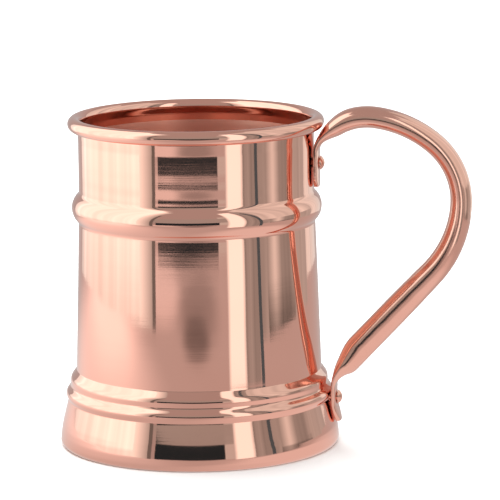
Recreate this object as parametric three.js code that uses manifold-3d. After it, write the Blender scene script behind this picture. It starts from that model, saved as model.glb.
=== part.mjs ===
// A copper tankard. One spun sheet makes the wall, with a rim rolled round a wire, a bead, a stepped
// foot and a flared skirt whose edge is turned in to hold the floor. The handle is a bent tube,
// flattened at both ends and riveted on. Millimetres, +Z up, origin on the mug's axis at the table.
import * as THREE from 'three';
import { mergeVertices } from 'three/addons/utils/BufferGeometryUtils.js';
import Module from 'manifold-3d';

const wasm = await Module();
wasm.setup();

// Body: radii are of the outer face, heights are above the table.
const HEIGHT = 114.3;
const SHEET = 1.0;
const RIM_RADIUS = 44.05;
const RIM_ROLL = 2.4;
const RIM_WIRE = 1.1;
const ROLL_START = THREE.MathUtils.degToRad(80);
const SHOULDER = { radius: 40.64, height: 109.3, round: 3 };
const WALL_TOP = { radius: 40.5, height: 105.6, round: 12 };
const WALL_UNDER_BEAD = 40.8;
const BEAD = { radius: 43.05, height: 82.85, round: 6.2 };
const BEAD_FILLET = 2.0;
const WALL_FOOT = { radius: 42.46, height: 26.5, round: 0.4 };
const UPPER_STEP = { radius: 44.6, height: 22.6, round: 3.0 };
const STEP_GROOVE = { radius: 44.55, height: 21.3, round: 1.5 };
const LOWER_STEP = { radius: 46.15, height: 18.0, round: 2.4 };
const NECK = { radius: 45.52, height: 16.0, round: 0.8 };
const SKIRT = { radius: 48.41, height: -0.37, round: 38 };
const TOE_ROUND = 2;
const FLANGE_EDGE = 42.2;

// Floor: a disc flush with the base, stepped up over the flange.
const FLOOR_EDGE = 40.3;
const FLOOR_LIP = 45.2;
const FLOOR_STEP = 1.3;
const SOLDER_FACE = [[44.2, 2.6], [46.55, 2.6], [46.9, 3.4], [46.75, 4.8], [46.0, 3.3]];

// Handle: a tube bent in the XZ plane, from the end of the upper tab over the arch to the lower tab.
const TUBE_RADIUS = 4.75;
const TUBE_WALL = 0.7;
const TAB_DEPTH = 0.8;
const TAB_HALF_WIDTH = 5.8;
const HANDLE_START = [41.8, 90.0];
// Each bend is its length along the tube and the angle it turns through, in degrees.
const BENDS = [
  [11.9, 0], [6.3, -44.5], [19.4, -53.2], [22.0, -31.9], [23.5, -52.6], [27.2, -41.3],
  [44.3, 0], [8.0, 43.5], [4.6, 0], [3.0, 14.5], [4.7, 0],
];
// Distances along the tube between which it swells from flat to round, or sinks from round to flat.
const UPPER_SWELL = { mugSide: [12, 30], handSide: [12, 24] };
const LOWER_SINK = { mugSide: [146, 162], farSide: [152.5, 162.5] };
const ARCH_DEPTH = 3.7;
const ARM_DEPTH = 4.7;
const ARCH_TO_ARM = [75, 130];

// Rivets
const SHANK_RADIUS = 1.5;
const HOLE_RADIUS = 1.8;
const OUTER_HEAD = { radius: 2.5, height: 1.5 };
const INNER_HEAD = { radius: 2.2, height: 0.8 };
const UPPER_RIVET = { height: 98, inside: 39.2, outside: 42.85 };
const LOWER_RIVET = { height: 16.2, inside: 44.15, outside: 48.33 };

const TURNS = 44;
const ARC_STEP = Math.PI / 5;
const MERGE_DISTANCE = 0.01;
const TUBE_SIDES = 16;

const COPPER = { color: 0xd9937c, roughness: 0.12, metalness: 1 };
const INSIDE_COPPER = { color: 0xc47862, roughness: 0.25, metalness: 1 };
const SOLDER = { color: 0xb9b6b0, roughness: 0.4, metalness: 1 };

const degrees = THREE.MathUtils.degToRad;
const rise = (value, [from, to]) => THREE.MathUtils.smoothstep(value, from, to);

// ---- Outlines ------------------------------------------------------------------------------

// A roller that the outline bends round. Its round is positive where the outline bulges outwards
// and negative where it is hollow.
function bulge({ radius, height, round }) {
  return { radius: radius - round, height, round };
}

function hollow({ radius, height, round }) {
  return { radius: radius + round, height, round: -round };
}

// The hollow fillet where a straight wall meets a bulge. side is 1 above the bulge and -1 below it.
function wallFillet(wallRadius, roller, fillet, side) {
  const across = wallRadius + fillet - roller.radius;
  const reach = Math.sqrt((roller.round + fillet) ** 2 - across ** 2);
  return { radius: wallRadius + fillet, height: roller.height + side * reach, round: -fillet };
}

// The small bulge that turns the skirt in to the table, touching the inside of the skirt's own bulge.
function toe(skirt, round) {
  const rises = round - skirt.height;
  const across = Math.sqrt((skirt.round - round) ** 2 - rises ** 2);
  return { radius: skirt.radius + across, height: round, round };
}

// How far the outline turns on a roller: clockwise on a bulge, anticlockwise in a hollow.
function turnOn(roller, from, to) {
  const sense = roller.round > 0 ? -1 : 1;
  const turn = THREE.MathUtils.euclideanModulo(sense * (to - from) + 0.01, 2 * Math.PI) - 0.01;
  return sense * turn;
}

// The points of an outline that runs past a row of rollers like a belt, moved out by offset. Angles
// are those of the outward normal where the outline starts and ends.
function belt(rollers, startAngle, endAngle, offset) {
  const normals = [startAngle];
  for (let i = 0; i + 1 < rollers.length; i += 1) {
    const across = rollers[i + 1].radius - rollers[i].radius;
    const up = rollers[i + 1].height - rollers[i].height;
    const swing = rollers[i].round - rollers[i + 1].round;
    const straight = Math.sqrt(Math.max(0, across ** 2 + up ** 2 - swing ** 2));
    normals.push(Math.atan2(up, across) - Math.atan2(swing, straight) + Math.PI / 2);
  }
  normals.push(endAngle);
  const points = [];
  rollers.forEach((roller, i) => {
    const turn = turnOn(roller, normals[i], normals[i + 1]);
    const steps = Math.max(1, Math.ceil(Math.abs(turn) / ARC_STEP));
    for (let step = 0; step <= steps; step += 1) {
      const angle = normals[i] + (turn * step) / steps;
      const reach = roller.round + offset;
      const point = new THREE.Vector2(
        roller.radius + reach * Math.cos(angle),
        roller.height + reach * Math.sin(angle),
      );
      const last = points.at(-1);
      if (!last || last.distanceTo(point) > MERGE_DISTANCE) {
        points.push(point);
      }
    }
  });
  return points;
}

function wallRollers() {
  const bead = bulge(BEAD);
  return [
    { radius: RIM_RADIUS - RIM_ROLL, height: HEIGHT - RIM_ROLL, round: SHEET - RIM_ROLL },
    bulge(SHOULDER),
    hollow(WALL_TOP),
    wallFillet(WALL_TOP.radius, bead, BEAD_FILLET, 1),
    bead,
    wallFillet(WALL_UNDER_BEAD, bead, BEAD_FILLET, -1),
    hollow(WALL_FOOT),
    bulge(UPPER_STEP),
    hollow(STEP_GROOVE),
    bulge(LOWER_STEP),
    hollow(NECK),
    bulge(SKIRT),
    toe(bulge(SKIRT), TOE_ROUND),
  ];
}

// ---- Solids --------------------------------------------------------------------------------

// Turns a closed outline of [radius, height] points, listed clockwise, about Z.
function turned(outline, turns = TURNS) {
  const closed = outline.map((point) => new THREE.Vector2(...point));
  if (closed[0].x > 0 || closed.at(-1).x > 0) {
    closed.push(closed[0].clone());
  }
  return new THREE.LatheGeometry(closed.reverse(), turns).rotateX(Math.PI / 2);
}

function toSolid(geometry) {
  const bare = geometry.clone();
  bare.deleteAttribute('normal');
  bare.deleteAttribute('uv');
  const merged = mergeVertices(bare);
  return new wasm.Manifold(new wasm.Mesh({
    numProp: 3,
    vertProperties: new Float32Array(merged.attributes.position.array),
    triVerts: new Uint32Array(merged.index.array),
  }));
}

function toGeometry(solid) {
  const mesh = solid.getMesh();
  const geometry = new THREE.BufferGeometry();
  geometry.setAttribute('position', new THREE.BufferAttribute(mesh.vertProperties, 3));
  geometry.setIndex(new THREE.BufferAttribute(mesh.triVerts, 1));
  geometry.computeVertexNormals();
  return geometry;
}

// A rivet hole's core, along X, from the inside of the wall to the outside of the tab.
function holeCore({ height, inside, outside }) {
  const length = outside - inside + 4;
  return new THREE.CylinderGeometry(HOLE_RADIUS, HOLE_RADIUS, length, 20)
    .rotateZ(Math.PI / 2)
    .translate((inside + outside) / 2, 0, height);
}

function drilled(geometry) {
  return toGeometry(
    toSolid(geometry)
      .subtract(toSolid(holeCore(UPPER_RIVET)))
      .subtract(toSolid(holeCore(LOWER_RIVET))),
  );
}

// ---- Sub-parts -----------------------------------------------------------------------------

function bodyShell() {
  const rollers = wallRollers();
  const outer = belt(rollers, ROLL_START, -Math.PI / 2, 0);
  const inner = belt(rollers, ROLL_START, -Math.PI / 2, -SHEET);
  outer.push(new THREE.Vector2(FLANGE_EDGE, 0));
  inner.push(new THREE.Vector2(FLANGE_EDGE, SHEET));
  const outline = [...outer, ...inner.reverse()].map((point) => point.toArray());
  return drilled(turned(outline));
}

function rimWire() {
  return new THREE.TorusGeometry(RIM_RADIUS - RIM_ROLL, RIM_WIRE, 8, TURNS)
    .translate(0, 0, HEIGHT - RIM_ROLL);
}

function bottomDisc() {
  const slope = FLOOR_STEP;
  return turned([
    [0, SHEET], [FLOOR_EDGE - SHEET / 2, SHEET], [FLOOR_EDGE + slope - SHEET / 2, FLOOR_STEP + SHEET],
    [FLOOR_LIP, FLOOR_STEP + SHEET], [FLOOR_LIP, FLOOR_STEP], [FLOOR_EDGE + slope, FLOOR_STEP],
    [FLOOR_EDGE, 0], [0, 0],
  ]);
}

function seamSolderRing() {
  return turned([...SOLDER_FACE].reverse());
}

// Where the tube's centre line is, and which way it heads, at a distance along it.
function spineAt(distance) {
  let [x, z] = HANDLE_START;
  let heading = Math.PI / 2;
  let left = distance;
  for (const [length, bend] of BENDS) {
    const part = Math.min(left, length);
    const turn = (degrees(bend) * part) / length;
    const chord = turn === 0 ? part : (part * Math.sin(turn / 2)) / (turn / 2);
    x += chord * Math.cos(heading + turn / 2);
    z += chord * Math.sin(heading + turn / 2);
    heading += turn;
    left -= part;
  }
  return { x, z, heading };
}

const TUBE_LENGTH = BENDS.reduce((sum, [length]) => sum + length, 0);

// Half the tube's depth on its outer side and its hand side, and half its width.
function sectionAt(distance) {
  const round = THREE.MathUtils.lerp(ARCH_DEPTH, ARM_DEPTH, rise(distance, ARCH_TO_ARM));
  const outerSwell = rise(distance, UPPER_SWELL.mugSide) * (1 - rise(distance, LOWER_SINK.farSide));
  const handSwell = rise(distance, UPPER_SWELL.handSide) * (1 - rise(distance, LOWER_SINK.mugSide));
  const outer = THREE.MathUtils.lerp(TAB_DEPTH, round, outerSwell);
  const hand = THREE.MathUtils.lerp(TAB_DEPTH, round, handSwell);
  const fromEnd = Math.min(distance, TUBE_LENGTH - distance);
  const corner = 1 - Math.min(1, 0.16 + fromEnd / 5);
  const width = Math.min(TAB_HALF_WIDTH, 2 * TUBE_RADIUS - (outer + hand) / 2);
  const flatness = 1 - (outerSwell + handSwell) / 2;
  return { outer, hand, width: width * Math.sqrt(1 - corner ** 2), flatness };
}

// One ring of the tube's skin, thinner than the outside by inset. Flat stretches wrap to the wall.
function tubeRing(distance, inset) {
  const { x, z, heading } = spineAt(distance);
  const { outer, hand, width, flatness } = sectionAt(distance);
  const power = 2 / (2 + 3 * flatness ** 6);
  const ring = [];
  for (let side = 0; side < TUBE_SIDES; side += 1) {
    const angle = (2 * Math.PI * side) / TUBE_SIDES;
    const [across, over] = [Math.cos(angle), Math.sin(angle)];
    const y = (width - inset) * Math.sign(across) * Math.abs(across) ** power;
    const depth = (over > 0 ? outer : hand) - inset;
    const lift = depth * Math.sign(over) * Math.abs(over) ** power;
    const wrap = flatness ** 2 * (x - Math.sqrt(x ** 2 - y ** 2));
    ring.push(new THREE.Vector3(
      x - lift * Math.sin(heading) - wrap,
      y,
      z + lift * Math.cos(heading),
    ));
  }
  return ring;
}

// Rings are close together in the flattened ends and further apart round the arch and along the arm.
function ringDistances() {
  const distances = [0, 0.9, 2.2, 4.2, 8, 12];
  for (let distance = 14; distance < 30; distance += 2) {
    distances.push(distance);
  }
  for (let distance = 30; distance < 112; distance += 5.1) {
    distances.push(distance);
  }
  distances.push(112, 125, 138, 146, 150, 153);
  for (let distance = 155; distance < 163; distance += 1.5) {
    distances.push(distance);
  }
  return [...distances, 164, 167.5, TUBE_LENGTH - 4.2, TUBE_LENGTH - 2.2, TUBE_LENGTH - 0.9, TUBE_LENGTH];
}

// Joins rings of points into one closed skin, each ring to the next and the last to the first.
function skin(rings) {
  const index = [];
  rings.forEach((ring, row) => {
    const next = (row + 1) % rings.length;
    ring.forEach((_, side) => {
      const beside = (side + 1) % ring.length;
      const [a, b] = [row * ring.length + side, row * ring.length + beside];
      const [c, d] = [next * ring.length + beside, next * ring.length + side];
      index.push(a, b, c, a, c, d);
    });
  });
  const geometry = new THREE.BufferGeometry().setFromPoints(rings.flat());
  geometry.setIndex(index);
  return geometry;
}

function handleTube() {
  const distances = ringDistances();
  const outside = distances.map((distance) => tubeRing(distance, 0));
  const inside = distances.map((distance) => tubeRing(distance, TUBE_WALL));
  return drilled(skin([...outside, ...inside.reverse()]));
}

// A domed head's [radius, height] points from its rim to its top, on a base at zero.
function dome({ radius, height }) {
  const ball = (radius ** 2 + height ** 2) / (2 * height);
  const spread = Math.asin(radius / ball);
  return [1, 0.8, 0.6, 0.4, 0.2, 0].map((share) => [
    ball * Math.sin(spread * share),
    ball * Math.cos(spread * share) - (ball - height),
  ]);
}

function rivet({ height, inside, outside }) {
  const outer = dome(OUTER_HEAD).map(([radius, rises]) => [radius, outside + rises]);
  const inner = dome(INNER_HEAD).map(([radius, rises]) => [radius, inside - rises]);
  const outline = [...outer.reverse(), [SHANK_RADIUS, outside], [SHANK_RADIUS, inside], ...inner];
  return turned(outline.map(([radius, along]) => [Math.abs(radius), along]), 20)
    .rotateY(Math.PI / 2)
    .translate(0, 0, height);
}

// ---- The mug -------------------------------------------------------------------------------

function piece(name, geometry, finish) {
  const mesh = new THREE.Mesh(geometry, new THREE.MeshStandardMaterial(finish));
  mesh.name = name;
  return mesh;
}

const mug = new THREE.Group();
mug.add(
  piece('body_shell', bodyShell(), COPPER),
  piece('rim_wire', rimWire(), COPPER),
  piece('bottom_disc', bottomDisc(), INSIDE_COPPER),
  piece('seam_solder_ring', seamSolderRing(), SOLDER),
  piece('handle_tube', handleTube(), COPPER),
  piece('upper_rivet', rivet(UPPER_RIVET), COPPER),
  piece('lower_rivet', rivet(LOWER_RIVET), COPPER),
);

export default mug;
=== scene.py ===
"""Looks of the copper tankard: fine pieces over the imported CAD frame, copper and solder, a pale stage.

Shapes are worked out in millimetres with the CAD source's own sizes and turned into metres last.
"""

import math

import bpy
from mathutils import Matrix, Vector


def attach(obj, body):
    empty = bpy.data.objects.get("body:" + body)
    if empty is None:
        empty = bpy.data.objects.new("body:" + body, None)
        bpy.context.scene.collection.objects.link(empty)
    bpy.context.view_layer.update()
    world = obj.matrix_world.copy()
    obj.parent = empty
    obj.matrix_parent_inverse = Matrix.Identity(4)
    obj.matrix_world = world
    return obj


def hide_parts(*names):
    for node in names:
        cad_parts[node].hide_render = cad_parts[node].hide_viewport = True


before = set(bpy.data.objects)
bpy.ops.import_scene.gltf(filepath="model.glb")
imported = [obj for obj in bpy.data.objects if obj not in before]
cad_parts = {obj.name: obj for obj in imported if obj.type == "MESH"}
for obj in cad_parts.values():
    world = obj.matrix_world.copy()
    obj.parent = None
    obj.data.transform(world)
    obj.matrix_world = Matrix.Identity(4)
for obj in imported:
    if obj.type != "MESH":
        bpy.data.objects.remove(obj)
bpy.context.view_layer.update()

METRES = 0.001

# Body: radii are of the outer face, heights are above the table. A group of three is the radius and
# the height of a roller that the wall's outline runs past, and the roller's own radius.
HEIGHT = 114.3
SHEET = 1.0
RIM_RADIUS = 44.05
RIM_ROLL = 2.4
ROLL_START = math.radians(80)
SHOULDER = (40.64, 109.3, 3)
WALL_TOP = (40.5, 105.6, 12)
WALL_UNDER_BEAD = 40.8
BEAD = (43.05, 82.85, 6.2)
BEAD_FILLET = 2.0
WALL_FOOT = (42.46, 26.5, 0.4)
UPPER_STEP = (44.6, 22.6, 3.0)
STEP_GROOVE = (44.55, 21.3, 1.5)
LOWER_STEP = (46.15, 18.0, 2.4)
NECK = (45.52, 16.0, 0.8)
SKIRT = (48.41, -0.37, 38)
TOE_ROUND = 2
FLANGE_EDGE = 42.2
SATIN_BELOW = 106.8

# Spinning rings: the height of one, their spacing, how deep they are everywhere, and how much deeper
# above the bead and just above it. A span is where a change starts and ends.
RING_HEIGHT = 95.7
RING_SPACING = 5.3
LEAST_RING = 0.001
WALL_RING = 0.0025
BEAD_RING = 0.0108
RINGS_START_OVER_BEAD = (2, 6)
RINGS_WEAKEN_OVER_BEAD = (6.5, 14)
RINGS_END_AT_RIM = (98.5, 101.5)
RINGS_START_AT_FOOT = (28, 34)

# Unevenness round the wall: how deep its slow and quick waves are, and where they start and end
SLOW_WAVE = 0.03
QUICK_WAVE = 0.008
WAVES_START = (26, 50)
WAVES_END = (80, 107)

# Floor of the cup
FLOOR_EDGE = 40.3
FLOOR_LIP = 45.2
FLOOR_STEP = 1.3
# Corners of the solder seam's section, as radius and height
SOLDER_FACE = [(44.2, 2.6), (46.55, 2.6), (46.9, 3.4), (46.75, 4.8), (46.0, 3.3)]

# Handle
TUBE_RADIUS = 4.75
TUBE_WALL = 0.7
TAB_DEPTH = 0.8
TAB_HALF_WIDTH = 5.8
HANDLE_START = (41.8, 90.0)
# Each bend is its length along the tube and the angle it turns through, in degrees.
BENDS = [
    (11.9, 0), (6.3, -44.5), (19.4, -53.2), (22.0, -31.9), (23.5, -52.6),
    (27.2, -41.3), (44.3, 0), (8.0, 43.5), (4.6, 0), (3.0, 14.5), (4.7, 0),
]
TUBE_LENGTH = sum(length for length, _ in BENDS)
# Distances along the tube between which it swells from flat to round, or sinks from round to flat
UPPER_SWELL_MUG_SIDE = (12, 30)
UPPER_SWELL_HAND_SIDE = (12, 24)
LOWER_SINK_MUG_SIDE = (146, 162)
LOWER_SINK_FAR_SIDE = (152.5, 162.5)
# Half the tube's depth over the arch and in the lower arm, and where the one becomes the other
ARCH_DEPTH = 3.7
ARM_DEPTH = 4.7
ARCH_TO_ARM = (75, 130)
# How the flat ends are rounded: over what length, and how full the tip is
TIP_LENGTH = 5
TIP_FULLNESS = 0.16
# How much squarer than an ellipse the flattened section is
TAB_SQUARENESS = 3

# Rivets. A head is its radius and height.
SHANK_RADIUS = 1.5
HOLE_RADIUS = 1.8
OUTER_HEAD = (2.5, 1.5)
INNER_HEAD = (2.2, 0.8)
HAMMERED = 0.018
# The rivet's height, where its inner head sits and where its outer head sits
UPPER_RIVET = (98, 39.2, 42.85)
LOWER_RIVET = (16.2, 44.15, 48.33)

# Fineness of the meshes
TURNS = 288
FLOOR_TURNS = 144
RIVET_TURNS = 64
TUBE_SIDES = 64
TUBE_STEP = 0.9
HOLE_SIDES = 32
DOME_RINGS = 14
ARC_STEP = math.radians(4)
STRAIGHT_STEP = 0.6
SMOOTH_BELOW = 40

# Camera: its direction and distance from a point on the mug's axis, and the point it aims at, as
# a shift to its right and a height, in metres
CAMERA_AZIMUTH = math.radians(8)
CAMERA_ELEVATION = math.radians(10.69)
CAMERA_DISTANCE = 1.172
ORBIT_HEIGHT = 0.055
AIM_RIGHT = 0.0181
AIM_HEIGHT = 0.0669
CAMERA_ROLL = math.radians(-0.67)
CAMERA_LENS = 244
SENSOR_WIDTH = 36

# Stage, in metres. The dark beyond the table reaches this high, as an angle seen from the mug's foot.
FLOOR_RADIUS = 6
TABLE_RADIUS = 1.2
TABLE_DROP = 0.0004
DARK_DISTANCE = 0.655
DARK_TOP = math.radians(13.5)
CARD_STEP = 3
DISC_SIDES = 96

# How bright the table and the ceiling look in the copper
TABLE_LEVEL = 0.56
CEILING_LEVEL = 0.45
WHITE = (0.88, 1, 0.98)
WARM_WHITE = (1, 0.99, 0.98, 1)
BLUISH_DARK = (0.6, 1, 1.2)

# Painted light and painted shade on the table that the copper sees, in spots: degrees from the camera's
# direction, distance from the axis, radius, and the change of brightness in its middle, which holds out
# to this share of the radius
TABLE_LIGHT_AND_SHADE_SPOTS = [
    (0, 0.47, 0.19, -0.36), (-2, 0.37, 0.1, -0.5), (-32, 0.55, 0.19, 0.55),
    (-95, 0.27, 0.3, 0.9), (-88, 0.44, 0.3, 0.35), (60, 0.09, 0.1, 0.5),
]
SPOT_CORE = 0.4


# ---- Outlines ------------------------------------------------------------------------------


def bulge(radius, height, round_):
    """The roller of a rounding that stands out to a radius."""
    return (radius - round_, height, round_)


def hollow(radius, height, round_):
    """The roller of a rounding that dips in to a radius. Its own radius is negative."""
    return (radius + round_, height, -round_)


def wall_fillet(wall_radius, roller, fillet, side):
    """The hollow between a straight wall and a roller, above the roller for side 1, below it for -1."""
    across = wall_radius + fillet - roller[0]
    reach = math.sqrt((roller[2] + fillet) ** 2 - across**2)
    return (wall_radius + fillet, roller[1] + side * reach, -fillet)


def toe(skirt, round_):
    """The roller that rounds the skirt's lower end and touches the table."""
    rises = round_ - skirt[1]
    return (skirt[0] + math.sqrt((skirt[2] - round_) ** 2 - rises**2), round_, round_)


def belt(rollers, start, end, offset):
    """An outline that runs past a row of rollers like a belt, moved out by offset."""
    normals = [start]
    for here, after in zip(rollers, rollers[1:]):
        across, up, swing = after[0] - here[0], after[1] - here[1], here[2] - after[2]
        straight = math.sqrt(max(0, across**2 + up**2 - swing**2))
        normals.append(math.atan2(up, across) - math.atan2(swing, straight) + math.pi / 2)
    normals.append(end)
    points = []
    for (radius, height, round_), before, after in zip(rollers, normals, normals[1:]):
        sense = -1 if round_ > 0 else 1
        turn = sense * ((sense * (after - before) + 0.01) % (2 * math.pi) - 0.01)
        steps = max(1, math.ceil(abs(turn) / ARC_STEP))
        for step in range(steps + 1):
            angle = before + turn * step / steps
            reach = round_ + offset
            point = (radius + reach * math.cos(angle), height + reach * math.sin(angle))
            if not points or math.dist(points[-1], point) > 0.01:
                points.append(point)
    return points


def finely(points, spacing=STRAIGHT_STEP):
    """The same outline with long straights cut into short ones."""
    fine = [points[0]]
    for here, after in zip(points, points[1:]):
        parts = max(1, math.ceil(math.dist(here, after) / spacing))
        for part in range(1, parts + 1):
            share = part / parts
            fine.append(
                (here[0] + (after[0] - here[0]) * share, here[1] + (after[1] - here[1]) * share)
            )
    return fine


def wall_rollers():
    bead = bulge(*BEAD)
    return [
        (RIM_RADIUS - RIM_ROLL, HEIGHT - RIM_ROLL, SHEET - RIM_ROLL),
        bulge(*SHOULDER),
        hollow(*WALL_TOP),
        wall_fillet(WALL_TOP[0], bead, BEAD_FILLET, 1),
        bead,
        wall_fillet(WALL_UNDER_BEAD, bead, BEAD_FILLET, -1),
        hollow(*WALL_FOOT),
        bulge(*UPPER_STEP),
        hollow(*STEP_GROOVE),
        bulge(*LOWER_STEP),
        hollow(*NECK),
        bulge(*SKIRT),
        toe(bulge(*SKIRT), TOE_ROUND),
    ]


# ---- Meshes --------------------------------------------------------------------------------


def piece(name, points, faces, materials, indices=None, crease=SMOOTH_BELOW):
    mesh = bpy.data.meshes.new(name)
    mesh.from_pydata([[n * METRES for n in point] for point in points], [], faces)
    for material in materials:
        mesh.materials.append(material)
    if indices:
        mesh.polygons.foreach_set("material_index", indices)
    mesh.shade_smooth()
    mesh.set_sharp_from_angle(angle=math.radians(crease))
    made = bpy.data.objects.new(name, mesh)
    bpy.context.scene.collection.objects.link(made)
    return made


def turned(outline, turns=TURNS, ripple=None):
    """Points and faces of a clockwise outline of (radius, height) turned about Z."""
    points, rows = [], []
    for radius, height in outline:
        if radius < 1e-6:
            rows.append([len(points)] * turns)
            points.append((0, 0, height))
            continue
        rows.append(list(range(len(points), len(points) + turns)))
        for turn in range(turns):
            angle = 2 * math.pi * turn / turns
            reach = radius + (ripple(angle, height) if ripple else 0)
            points.append((reach * math.cos(angle), reach * math.sin(angle), height))
    faces, steps = [], []
    open_ended = outline[0][0] < 1e-6 and outline[-1][0] < 1e-6
    for step in range(len(rows) - (1 if open_ended else 0)):
        upper, lower = rows[step], rows[(step + 1) % len(rows)]
        for turn in range(turns):
            beside = (turn + 1) % turns
            loop = [upper[turn], lower[turn], lower[beside], upper[beside]]
            faces.append(list(dict.fromkeys(loop)))
            steps.append(step)
    return points, faces, steps


def rise(value, span):
    """A smooth step from 0 to 1 over a span."""
    share = min(1, max(0, (value - span[0]) / (span[1] - span[0])))
    return share * share * (3 - 2 * share)


def mix(a, b, share):
    return a + (b - a) * share


def ripple(angle, height):
    """How far the wall stands out at a place: shallow rings, deepest just above the bead, and a
    slight unevenness round it. Both are gone before the rim and the foot."""
    over_bead = height - BEAD[1]
    deeper = WALL_RING + BEAD_RING * (1 - rise(over_bead, RINGS_WEAKEN_OVER_BEAD))
    depth = LEAST_RING + rise(over_bead, RINGS_START_OVER_BEAD) * deeper
    depth *= rise(height, RINGS_START_AT_FOOT) * (1 - rise(height, RINGS_END_AT_RIM))
    sway = 0.35 * math.sin(angle + 1.3) + 0.2 * math.sin(3 * angle)
    rings = -depth * math.sin(2 * math.pi * (height - RING_HEIGHT) / RING_SPACING + sway)
    waves = SLOW_WAVE * math.sin(3 * angle + height / 30)
    waves += QUICK_WAVE * math.sin(11 * angle - height / 9)
    return rings + waves * rise(height, WAVES_START) * (1 - rise(height, WAVES_END))


def spine_at(distance):
    """Where the tube's centre line is, and which way it heads, at a distance along it."""
    x, z = HANDLE_START
    heading, left = math.pi / 2, distance
    for length, bend in BENDS:
        part = max(0, min(left, length))
        turn = math.radians(bend) * part / length
        chord = part if turn == 0 else part * math.sin(turn / 2) / (turn / 2)
        x += chord * math.cos(heading + turn / 2)
        z += chord * math.sin(heading + turn / 2)
        heading += turn
        left -= length
    return x, z, heading


def section_at(distance):
    """Half the tube's depth on its outer side and its hand side, half its width, and how flat it is."""
    round_ = mix(ARCH_DEPTH, ARM_DEPTH, rise(distance, ARCH_TO_ARM))
    outer_swell = rise(distance, UPPER_SWELL_MUG_SIDE) * (1 - rise(distance, LOWER_SINK_FAR_SIDE))
    hand_swell = rise(distance, UPPER_SWELL_HAND_SIDE) * (1 - rise(distance, LOWER_SINK_MUG_SIDE))
    outer = mix(TAB_DEPTH, round_, outer_swell)
    hand = mix(TAB_DEPTH, round_, hand_swell)
    from_end = min(distance, TUBE_LENGTH - distance)
    corner = 1 - min(1, TIP_FULLNESS + from_end / TIP_LENGTH)
    width = min(TAB_HALF_WIDTH, 2 * TUBE_RADIUS - (outer + hand) / 2)
    return outer, hand, width * math.sqrt(1 - corner**2), 1 - (outer_swell + hand_swell) / 2


def tube_ring(distance, inset):
    """Points round the tube. A flat end is curved to follow the mug."""
    x, z, heading = spine_at(distance)
    outer, hand, width, flatness = section_at(distance)
    power = 2 / (2 + TAB_SQUARENESS * flatness**6)
    ring = []
    for side in range(TUBE_SIDES):
        angle = 2 * math.pi * side / TUBE_SIDES
        across, over = math.cos(angle), math.sin(angle)
        y = (width - inset) * math.copysign(abs(across) ** power, across)
        lift = ((outer if over > 0 else hand) - inset) * math.copysign(abs(over) ** power, over)
        wrap = flatness**2 * (x - math.sqrt(x**2 - y**2))
        ring.append((x - lift * math.sin(heading) - wrap, y, z + lift * math.cos(heading)))
    return ring


def drill(body):
    """Cuts the two rivet holes, with two rods that reach 2 mm past where the heads sit."""
    points, faces = [], []
    for height, inside, outside in (UPPER_RIVET, LOWER_RIVET):
        first, sides = len(points), HOLE_SIDES
        for x in (inside - 2, outside + 2):
            for side in range(sides):
                angle = 2 * math.pi * side / sides
                y, z = HOLE_RADIUS * math.cos(angle), HOLE_RADIUS * math.sin(angle)
                points.append((x, y, height + z))
        for side in range(sides):
            beside = (side + 1) % sides
            faces.append((
                first + side, first + beside, first + sides + beside, first + sides + side
            ))
        faces.append(tuple(first + side for side in reversed(range(sides))))
        faces.append(tuple(first + sides + side for side in range(sides)))
    cutter = piece("cutter", points, faces, [])
    modifier = body.modifiers.new("holes", "BOOLEAN")
    modifier.operation, modifier.solver, modifier.object = "DIFFERENCE", "EXACT", cutter
    bpy.context.view_layer.update()
    whole = body.data
    drilled = bpy.data.meshes.new_from_object(
        body.evaluated_get(bpy.context.evaluated_depsgraph_get())
    )
    body.modifiers.clear()
    body.data = drilled
    drilled.name = whole.name
    bpy.data.objects.remove(cutter)
    body.data.set_sharp_from_angle(angle=math.radians(SMOOTH_BELOW))
    return body


def joined_to_cad(made, node):
    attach(made, "root")
    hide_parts(node)


# ---- Materials -----------------------------------------------------------------------------


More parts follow.
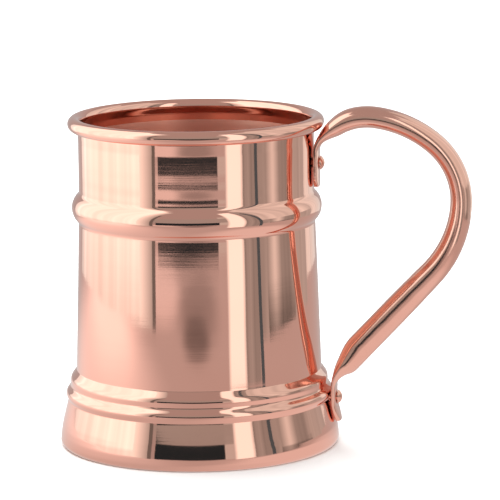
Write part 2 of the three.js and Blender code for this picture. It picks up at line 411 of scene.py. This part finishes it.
class Recipe:
    """A material and short ways to add and link its nodes."""

    def __init__(self, name):
        self.material = bpy.data.materials.new(name)
        self.material.use_nodes = True
        self.tree = self.material.node_tree
        self.tree.nodes.clear()
        self.output = self.add("ShaderNodeOutputMaterial")

    def add(self, kind, inputs=None, **settings):
        node = self.tree.nodes.new(kind)
        for name, value in settings.items():
            setattr(node, name, value)
        for name, value in (inputs or {}).items():
            if isinstance(value, bpy.types.NodeSocket):
                self.tree.links.new(value, node.inputs[name])
            else:
                node.inputs[name].default_value = value
        return node

    def place(self, scale):
        """The place on the object, in metres, stretched by scale."""
        where = self.add("ShaderNodeTexCoord").outputs["Object"]
        return self.add(
            "ShaderNodeMapping", {"Vector": where, "Scale": scale}
        ).outputs["Vector"]

    def noise(self, scale, detail=3, rough=0.5, low=0.0, high=1.0, vector=None):
        """Noise with features about 1 / scale metres across, mapped to low..high."""
        where = vector if vector is not None else self.place(scale)
        made = self.add(
            "ShaderNodeTexNoise",
            {"Vector": where, "Scale": 1.0, "Detail": detail, "Roughness": rough},
        ).outputs["Fac"]
        return self.range(made, 0.3, 0.7, low, high)

    def range(self, value, from_low, from_high, low, high):
        return self.add(
            "ShaderNodeMapRange",
            {"Value": value, "From Min": from_low, "From Max": from_high,
             "To Min": low, "To Max": high},
        ).outputs["Result"]

    def math(self, operation, a, b):
        return self.add(
            "ShaderNodeMath", {0: a, 1: b}, operation=operation
        ).outputs["Value"]

    def blend(self, share, a, b):
        made = self.add("ShaderNodeMix", {"Factor": share}, data_type="RGBA")
        for socket, value in ((made.inputs[6], a), (made.inputs[7], b)):
            if isinstance(value, bpy.types.NodeSocket):
                self.tree.links.new(value, socket)
            else:
                socket.default_value = value
        return made.outputs[2]

    def bump(self, height, distance, normal=None):
        inputs = {"Height": height, "Distance": distance, "Strength": 1.0}
        if normal is not None:
            inputs["Normal"] = normal
        return self.add("ShaderNodeBump", inputs).outputs["Normal"]

    def finish(self, shader, socket="BSDF"):
        self.tree.links.new(shader.outputs[socket], self.output.inputs["Surface"])
        return self.material


COPPER = (0.93, 0.50, 0.40, 1)
WORN_COPPER = (0.88, 0.43, 0.33, 1)
DEEP_COPPER = (0.80, 0.36, 0.26, 1)


def metal(recipe, colour, roughness, normal, anisotropic=0.0, tangent=None):
    inputs = {
        "Base Color": colour, "Metallic": 1.0, "Roughness": roughness, "Normal": normal,
        "Anisotropic": anisotropic, "Anisotropic Rotation": 0.25,
    }
    if tangent is not None:
        inputs["Tangent"] = tangent
    return recipe.finish(recipe.add("ShaderNodeBsdfPrincipled", inputs))


def polished_copper():
    """Spun and buffed wall: a near mirror with faint lines running round it."""
    recipe = Recipe("polished_copper")
    lines = recipe.noise((35, 35, 2600), detail=4, rough=0.6)
    broad = recipe.noise((22, 22, 420), detail=2)
    smudge = recipe.noise((38, 38, 30), detail=4, rough=0.6)
    colour = recipe.blend(recipe.noise((16, 16, 20), detail=2, high=0.55), COPPER, WORN_COPPER)
    roughness = recipe.math(
        "ADD", recipe.range(smudge, 0, 1, 0.03, 0.055), recipe.range(lines, 0, 1, 0, 0.01)
    )
    normal = recipe.bump(broad, 0.0000013)
    normal = recipe.bump(lines, 0.0000009, normal)
    tangent = recipe.add("ShaderNodeTangent", direction_type="RADIAL", axis="Z")
    return metal(recipe, colour, roughness, normal, 0.6, tangent.outputs["Tangent"])


def satin_copper():
    """Inside of the cup: unbuffed, with the spinning tool's fine turning marks."""
    recipe = Recipe("satin_copper")
    lines = recipe.noise((30, 30, 1500), detail=4, rough=0.65)
    smudge = recipe.noise((45, 45, 35), detail=4, rough=0.6)
    colour = recipe.blend(recipe.range(smudge, 0, 1, 0, 0.7), COPPER, WORN_COPPER)
    roughness = recipe.range(smudge, 0, 1, 0.3, 0.42)
    normal = recipe.bump(lines, 0.000004)
    tangent = recipe.add("ShaderNodeTangent", direction_type="RADIAL", axis="Z")
    return metal(recipe, colour, roughness, normal, 0.5, tangent.outputs["Tangent"])


def disc_copper():
    """The floor disc, with rings left by turning."""
    recipe = Recipe("disc_copper")
    where = recipe.add("ShaderNodeTexCoord").outputs["Object"]
    split = recipe.add("ShaderNodeSeparateXYZ", {"Vector": where})
    squares = [recipe.math("MULTIPLY", split.outputs[n], split.outputs[n]) for n in (0, 1)]
    radius = recipe.math("SQRT", recipe.math("ADD", *squares), 0.0)
    rings = recipe.add(
        "ShaderNodeTexNoise",
        {"W": recipe.math("MULTIPLY", radius, 1400.0), "Detail": 4.0, "Scale": 1.0},
        noise_dimensions="1D",
    ).outputs["Fac"]
    smudge = recipe.noise((60, 60, 60), detail=4, rough=0.6)
    colour = recipe.blend(smudge, COPPER, WORN_COPPER)
    roughness = recipe.range(smudge, 0, 1, 0.18, 0.3)
    tangent = recipe.add("ShaderNodeTangent", direction_type="RADIAL", axis="Z")
    return metal(
        recipe, colour, roughness, recipe.bump(rings, 0.000012), 0.6, tangent.outputs["Tangent"]
    )


def drawn_copper():
    """The handle's tube: drawing lines run along it."""
    recipe = Recipe("drawn_copper")
    along = recipe.add("ShaderNodeUVMap", uv_map="along").outputs["UV"]
    stretched = recipe.add(
        "ShaderNodeMapping", {"Vector": along, "Scale": (60, 2600, 1)}
    ).outputs["Vector"]
    lines = recipe.noise(None, detail=4, rough=0.6, vector=stretched)
    dents = recipe.noise((130, 130, 130), detail=1)
    smudge = recipe.noise((55, 55, 55), detail=4, rough=0.6)
    colour = recipe.blend(recipe.range(smudge, 0, 1, 0, 0.6), COPPER, WORN_COPPER)
    roughness = recipe.math(
        "ADD", recipe.range(smudge, 0, 1, 0.09, 0.14), recipe.range(lines, 0, 1, 0, 0.03)
    )
    normal = recipe.bump(dents, 0.00005)
    normal = recipe.bump(lines, 0.0000012, normal)
    tangent = recipe.add("ShaderNodeTangent", direction_type="UV_MAP", uv_map="along")
    return metal(recipe, colour, roughness, normal, 0.5, tangent.outputs["Tangent"])


def rivet_copper():
    """Rivet heads, closed with a few hammer blows and buffed."""
    recipe = Recipe("rivet_copper")
    dents = recipe.noise((700, 700, 700), detail=1)
    grime = recipe.noise((900, 900, 900), detail=3)
    colour = recipe.blend(recipe.range(grime, 0, 1, 0.1, 0.8), COPPER, DEEP_COPPER)
    return metal(
        recipe, colour, recipe.range(grime, 0, 1, 0.1, 0.2), recipe.bump(dents, 0.00006)
    )


def wire_copper():
    """The wire inside the rolled rim, unpolished."""
    recipe = Recipe("wire_copper")
    stain = recipe.noise((90, 90, 400), detail=3)
    colour = recipe.blend(stain, WORN_COPPER, DEEP_COPPER)
    return metal(recipe, colour, recipe.range(stain, 0, 1, 0.25, 0.4), recipe.bump(stain, 0.00001))


def solder():
    """Wiped tin solder."""
    recipe = Recipe("solder")
    wiped = recipe.noise((160, 160, 500), detail=4, rough=0.6)
    colour = recipe.blend(wiped, (0.62, 0.6, 0.57, 1), (0.78, 0.76, 0.73, 1))
    return metal(recipe, colour, recipe.range(wiped, 0, 1, 0.28, 0.45), recipe.bump(wiped, 0.00008))


# ---- Pieces --------------------------------------------------------------------------------


def body_shell():
    """The wall, from the rolled rim down to the edge turned in under the floor. Its inside is satin."""
    rollers = wall_rollers()
    outer = finely(belt(rollers, ROLL_START, -math.pi / 2, 0))
    inner = finely(belt(rollers, ROLL_START, -math.pi / 2, -SHEET))
    outer.append((FLANGE_EDGE, 0))
    inner.append((FLANGE_EDGE, SHEET))
    outline = outer + inner[::-1]
    points, faces, steps = turned(outline, ripple=ripple)
    satin = [
        int(step >= len(outer) and outline[step][1] < SATIN_BELOW) for step in steps
    ]
    made = piece("body_shell_fine", points, faces, [polished_copper(), satin_copper()], satin)
    return drill(made)


def bottom_disc():
    """The floor: a dished disc whose edge lies on the turned-in flange."""
    high = FLOOR_EDGE + FLOOR_STEP
    outline = [
        (0, SHEET), (FLOOR_EDGE / 2, SHEET), (FLOOR_EDGE - SHEET / 2, SHEET),
        (high - SHEET / 2, FLOOR_STEP + SHEET), (FLOOR_LIP, FLOOR_STEP + SHEET),
        (FLOOR_LIP, FLOOR_STEP), (high, FLOOR_STEP), (FLOOR_EDGE, 0), (FLOOR_EDGE / 2, 0), (0, 0),
    ]
    points, faces, _ = turned(outline, FLOOR_TURNS)
    return piece("bottom_disc_fine", points, faces, [disc_copper()], crease=30)


def seam_solder_ring():
    """The seam between the floor and the wall. Its section is closed, so the last point is dropped."""
    section = finely(SOLDER_FACE[::-1] + SOLDER_FACE[-1:], 1)[:-1]
    points, faces, _ = turned(section, FLOOR_TURNS)
    return piece("seam_solder_fine", points, faces, [solder()], crease=60)


def handle_tube():
    """The bent tube: rings from end to end outside, then back again inside."""
    count = round(TUBE_LENGTH / TUBE_STEP)
    early = [0, TUBE_STEP / 3, 2 * TUBE_STEP / 3]
    distances = early + [TUBE_LENGTH * n / count for n in range(1, count)]
    distances += [TUBE_LENGTH - distance for distance in reversed(early)]
    rings = [tube_ring(distance, 0) for distance in distances]
    rings += [tube_ring(distance, TUBE_WALL) for distance in reversed(distances)]
    places = distances + distances[::-1]
    points = [point for ring in rings for point in ring]
    faces, uvs = [], []
    for row in range(len(rings)):
        after = (row + 1) % len(rings)
        for side in range(TUBE_SIDES):
            beside = (side + 1) % TUBE_SIDES
            faces.append([
                row * TUBE_SIDES + side, row * TUBE_SIDES + beside,
                after * TUBE_SIDES + beside, after * TUBE_SIDES + side,
            ])
            rounds = [TUBE_RADIUS * 2 * math.pi * n / TUBE_SIDES for n in (side, side + 1)]
            for place, around in (
                (row, rounds[0]), (row, rounds[1]), (after, rounds[1]), (after, rounds[0])
            ):
                uvs += [places[place] * METRES, around * METRES]
    made = piece("handle_tube_fine", points, faces, [drawn_copper()], crease=50)
    made.data.uv_layers.new(name="along").data.foreach_set("uv", uvs)
    return drill(made)


def dome(radius, high):
    """The outline of a round head, from its middle to its edge."""
    ball = (radius**2 + high**2) / (2 * high)
    spread = math.asin(radius / ball)
    angles = [spread * n / DOME_RINGS for n in range(DOME_RINGS + 1)]
    return [(ball * math.sin(angle), ball * math.cos(angle) - ball + high) for angle in angles]


def rivet(name, height, inside, outside, material):
    """A rivet lying along X, turned upright first and made slightly uneven by its hammering."""
    outline = [(radius, outside + rises) for radius, rises in dome(*OUTER_HEAD)]
    outline += [(SHANK_RADIUS, outside), (SHANK_RADIUS, inside)]
    outline += [(radius, inside - rises) for radius, rises in reversed(dome(*INNER_HEAD))]
    upright, faces, _ = turned(outline, RIVET_TURNS)
    points = []
    for x, y, along in upright:
        uneven = 1 - HAMMERED * (1 + math.sin(3 * math.atan2(y, x) + height))
        points.append((along, y * uneven, height - x * uneven))
    return piece(name, points, faces, [material], crease=60)


joined_to_cad(body_shell(), "body_shell")
joined_to_cad(bottom_disc(), "bottom_disc")
joined_to_cad(seam_solder_ring(), "seam_solder_ring")
joined_to_cad(handle_tube(), "handle_tube")
rivet_metal = rivet_copper()
joined_to_cad(
    rivet("upper_rivet_fine", *UPPER_RIVET, rivet_metal), "upper_rivet"
)
joined_to_cad(
    rivet("lower_rivet_fine", *LOWER_RIVET, rivet_metal), "lower_rivet"
)
# The rim's wire is hidden in its roll, so the CAD's own mesh is kept and only gets a material.
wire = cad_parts["rim_wire"]
wire.data.materials.clear()
wire.data.materials.append(wire_copper())


# ---- Stage ---------------------------------------------------------------------------------


def glow(name, colour, strength, pleats=None, left_fade=None, right_fade=None, foot_fade=None):
    """An emitting material. pleats is (folds a radian, how deep); a fade is (share of the card that it
    takes, what is left at the card's edge)."""
    recipe = Recipe(name)
    place = recipe.add(
        "ShaderNodeSeparateXYZ", {"Vector": recipe.add("ShaderNodeTexCoord").outputs["UV"]}
    )
    across, up = place.outputs["X"], place.outputs["Y"]
    level = strength
    for along, edge, fade in ((up, 0, foot_fade), (across, 0, left_fade), (across, 1, right_fade)):
        if fade:
            share, left = fade
            faded = recipe.range(along, edge, abs(edge - share), left, 1)
            level = recipe.math("MULTIPLY", level, faded)
    if pleats:
        folds, depth = pleats
        angle = recipe.add("ShaderNodeUVMap", uv_map="pleats").outputs["UV"]
        stretched = recipe.add(
            "ShaderNodeMapping", {"Vector": angle, "Scale": (folds, 0.4, 1)}
        ).outputs["Vector"]
        cloth = recipe.noise(None, detail=2, vector=stretched, low=1 - depth)
        level = recipe.math("MULTIPLY", cloth, level)
    recipe.material.cycles.emission_sampling = "NONE"
    shader = {"Color": (*colour, 1), "Strength": level}
    return recipe.finish(recipe.add("ShaderNodeEmission", shader), "Emission")


def only_reflected(made):
    made.visible_camera = False
    made.visible_diffuse = False
    made.visible_shadow = False


def card(name, span, distance, heights, colour, strength, lean=0, **looks):
    """An upright curved card that shines. span is its left and right, in degrees from the camera's
    direction, right positive; distance is from the mug's axis and heights are its bottom and top, in
    metres. lean is how many degrees further left the top is. looks are glow's pleats and fades."""
    left, right = span
    bottom, top = heights
    facing = CAMERA_AZIMUTH - math.pi / 2
    steps = max(2, math.ceil((right - left) / CARD_STEP))
    turns = [math.radians(left + (right - left) * n / steps) for n in range(steps + 1)]
    points, faces, across, angles = [], [], [], []
    for turn in turns:
        for height, back in ((bottom, 0), (top, math.radians(lean))):
            angle = facing + turn - back
            place = (distance * math.cos(angle), distance * math.sin(angle), height)
            points.append([n / METRES for n in place])
    for step in range(steps):
        faces.append([2 * step, 2 * step + 2, 2 * step + 3, 2 * step + 1])
        for uvs, here, after in (
            (across, step / steps, (step + 1) / steps),
            (angles, turns[step], turns[step + 1]),
        ):
            uvs += [here, 0, after, 0, after, 1, here, 1]
    made = piece(name, points, faces, [glow(name, colour, strength, **looks)])
    made.data.uv_layers.new(name="across").data.foreach_set("uv", across)
    made.data.uv_layers.new(name="pleats").data.foreach_set("uv", angles)
    only_reflected(made)


def disc(name, radius, height, material):
    points = []
    for side in range(DISC_SIDES):
        angle = 2 * math.pi * side / DISC_SIDES
        place = (radius * math.cos(angle), radius * math.sin(angle), height)
        points.append([n / METRES for n in place])
    return piece(name, points, [list(range(DISC_SIDES))], [material])


def pale_floor():
    recipe = Recipe("pale_floor")
    mottle = recipe.noise((3, 3, 3), detail=2)
    colour = recipe.blend(mottle, (0.80, 0.795, 0.79, 1), (0.81, 0.805, 0.80, 1))
    looks = {"Base Color": colour, "Roughness": 0.9, "Specular IOR Level": 0.1}
    return recipe.finish(recipe.add("ShaderNodeBsdfPrincipled", looks))


def table_glow():
    """What the copper sees of the table: pale grey with painted pools of light and spots of painted
    shade.
    """
    recipe = Recipe("table_glow")
    where = recipe.add("ShaderNodeTexCoord").outputs["Object"]
    level = TABLE_LEVEL
    # Each spot brightens or darkens the table's glow: painted pools of light and painted shade, not
    # marks on the table.
    for angle, reach, spread, change in TABLE_LIGHT_AND_SHADE_SPOTS:
        turn = CAMERA_AZIMUTH - math.pi / 2 + math.radians(angle)
        middle = (reach * math.cos(turn), reach * math.sin(turn), 0)
        away = recipe.add(
            "ShaderNodeVectorMath", {0: where, 1: middle}, operation="DISTANCE"
        ).outputs["Value"]
        shade = recipe.add(
            "ShaderNodeMapRange",
            {"Value": away, "From Min": spread * SPOT_CORE, "From Max": spread,
             "To Min": 1 + change, "To Max": 1.0},
            interpolation_type="SMOOTHSTEP",
        ).outputs["Result"]
        level = recipe.math("MULTIPLY", level, shade)
    recipe.material.cycles.emission_sampling = "NONE"
    shader = recipe.add("ShaderNodeEmission", {"Color": WARM_WHITE, "Strength": level})
    return recipe.finish(shader, "Emission")


floor = disc("floor", FLOOR_RADIUS, 0, pale_floor())
floor.visible_glossy = False
only_reflected(disc("table_seen_in_copper", TABLE_RADIUS, -TABLE_DROP, table_glow()))

# In front: the dark room beyond the table, and the tent above it
dark_height = DARK_DISTANCE * math.tan(DARK_TOP)
card("dark_beyond_table", (-36.5, 19.5), DARK_DISTANCE, (0, dark_height), BLUISH_DARK, 0.036)
card("tent_over_dark", (-41, 60), 0.654, (0.154, 0.46), WHITE, 0.46)
card("beside_dark", (19.5, 31), 0.66, (0, 0.6), WHITE, 0.7)

# On the left: a bright pleated side of the tent, which ends at a thin pole
card(
    "left_tent", (-143, -54), 0.385, (0, 1.1), WHITE, 1.95,
    pleats=(7, 0.22), left_fade=(0.12, 0.6), foot_fade=(0.045, 0.72),
)
card("left_tent_edge", (-54, -41.5), 0.386, (0, 1.1), WHITE, 1.45, right_fade=(1.0, 0.4))
card("left_pole", (-41.5, -38.4), 0.384, (0, 0.5), WHITE, 0.2)

# On the right: a bright strip close by, a cord, and the tent with its folded foot
card(
    "right_strip", (25, 41), 0.21, (0, 0.42), WHITE, 1.6,
    left_fade=(0.15, 0.5), right_fade=(0.15, 0.5),
)
card(
    "right_strip_side", (41, 54), 0.212, (0, 0.42), WHITE, 0.62,
    pleats=(9, 0.5), right_fade=(0.6, 0.7),
)
card("right_cord", (54.5, 57.5), 0.205, (0, 0.3), BLUISH_DARK, 0.14, lean=9)
card("right_tent_hem", (54, 68), 0.33, (0, 0.1), WHITE, 0.55, pleats=(5, 0.4))
card(
    "right_tent_gap", (66, 83), 0.329, (0, 0.1), WHITE, 0.95,
    left_fade=(0.45, 0.45), right_fade=(0.45, 0.4), foot_fade=(0.22, 0.35),
)
card(
    "right_tent_fold", (81, 100), 0.33, (0, 0.1), WHITE, 0.45,
    pleats=(8, 0.3), left_fade=(0.2, 1.2), right_fade=(0.4, 1.5), foot_fade=(0.22, 0.5),
)
card("right_tent_end", (100, 122), 0.331, (0, 0.1), WHITE, 0.7, pleats=(8, 0.3))
card("right_tent", (54, 122), 0.33, (0.1, 0.9), WHITE, 1.2, pleats=(3, 0.5))

# Behind
card("right_back_strip", (122, 151), 0.4, (0, 0.6), WHITE, 1.25, pleats=(6, 0.4))
card("grey_back", (151, 217), 0.9, (0, 0.6), (1, 1, 1), 0.5)

world = bpy.data.worlds.new("studio")
world.use_nodes = True
background = world.node_tree.nodes["Background"]
background.inputs["Color"].default_value = WARM_WHITE
background.inputs["Strength"].default_value = CEILING_LEVEL
bpy.context.scene.world = world
bpy.context.scene.view_settings.view_transform = "Standard"

# Large soft lamps that light the floor and are not seen in the copper.
for name, place, size, power in (
    ("key", (-0.5, 0.5, 1.4), 1.6, 30), ("fill", (0.3, -0.6, 1.4), 2, 22),
    ("back", (0, 2.5, 1.8), 2.5, 70),
):
    lamp = bpy.data.objects.new(name, bpy.data.lights.new(name, "AREA"))
    lamp.data.size, lamp.data.energy = size, power
    lamp.location = place
    lamp.rotation_euler = (-Vector(place)).to_track_quat("-Z", "Y").to_euler()
    lamp.visible_glossy = False
    bpy.context.scene.collection.objects.link(lamp)


# ---- Camera --------------------------------------------------------------------------------

back = Vector((
    math.sin(CAMERA_AZIMUTH) * math.cos(CAMERA_ELEVATION),
    -math.cos(CAMERA_AZIMUTH) * math.cos(CAMERA_ELEVATION),
    math.sin(CAMERA_ELEVATION),
))
to_right = Vector((math.cos(CAMERA_AZIMUTH), math.sin(CAMERA_AZIMUTH), 0))
eye = Vector((0, 0, ORBIT_HEIGHT)) + CAMERA_DISTANCE * back
aim = AIM_RIGHT * to_right + Vector((0, 0, AIM_HEIGHT))
camera = bpy.data.objects.new("camera", bpy.data.cameras.new("camera"))
camera.data.lens = CAMERA_LENS
camera.data.sensor_width = SENSOR_WIDTH
turn = (aim - eye).to_track_quat("-Z", "Y").to_matrix().to_4x4()
camera.matrix_world = Matrix.Translation(eye) @ turn @ Matrix.Rotation(CAMERA_ROLL, 4, "Z")
bpy.context.scene.collection.objects.link(camera)
bpy.context.scene.camera = camera
